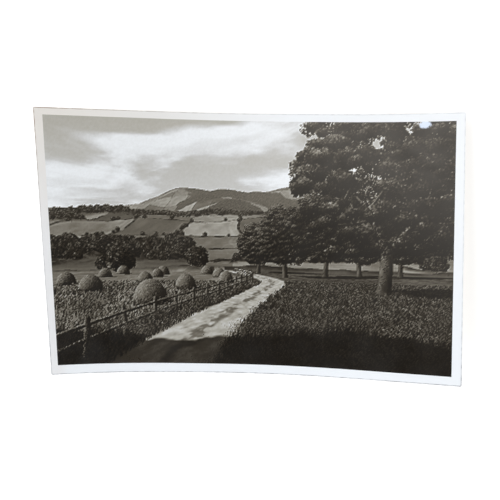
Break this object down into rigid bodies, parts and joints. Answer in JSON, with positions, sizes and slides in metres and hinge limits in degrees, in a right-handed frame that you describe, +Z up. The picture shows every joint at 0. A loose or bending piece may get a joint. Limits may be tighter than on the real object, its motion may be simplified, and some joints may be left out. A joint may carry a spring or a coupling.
{
  "type": "postcard",
  "caption": "Curled photographic postcard: a white-bordered landscape print on coated card, with a ruled address side and a stamp frame.",
  "frame": {"origin": "under the middle of the card, on the surface that it rests on", "axes": "+X along the long side, +Y towards the top of the picture, +Z up, with the picture face up"},
  "size_m": [0.1396, 0.0902, 0.0125],
  "materials": {
    "fibre_card": "uncoated, fibrous",
    "baryta": "smooth mineral coat",
    "clear_gelatin": "satin gelatin over white",
    "silver_gelatin": "satin gelatin with a warm black silver image",
    "back_ink": "printed ink, matt"
  },
  "bodies": {
    "root": {"paper_base": "fibre_card", "baryta_coat": "baryta", "gelatin_border": "clear_gelatin", "silver_image": "silver_gelatin", "divider_rule": "back_ink", "address_rule_1": "back_ink", "address_rule_2": "back_ink", "address_rule_3": "back_ink", "address_rule_4": "back_ink", "stamp_frame": "back_ink"}
  },
  "joints": []
}
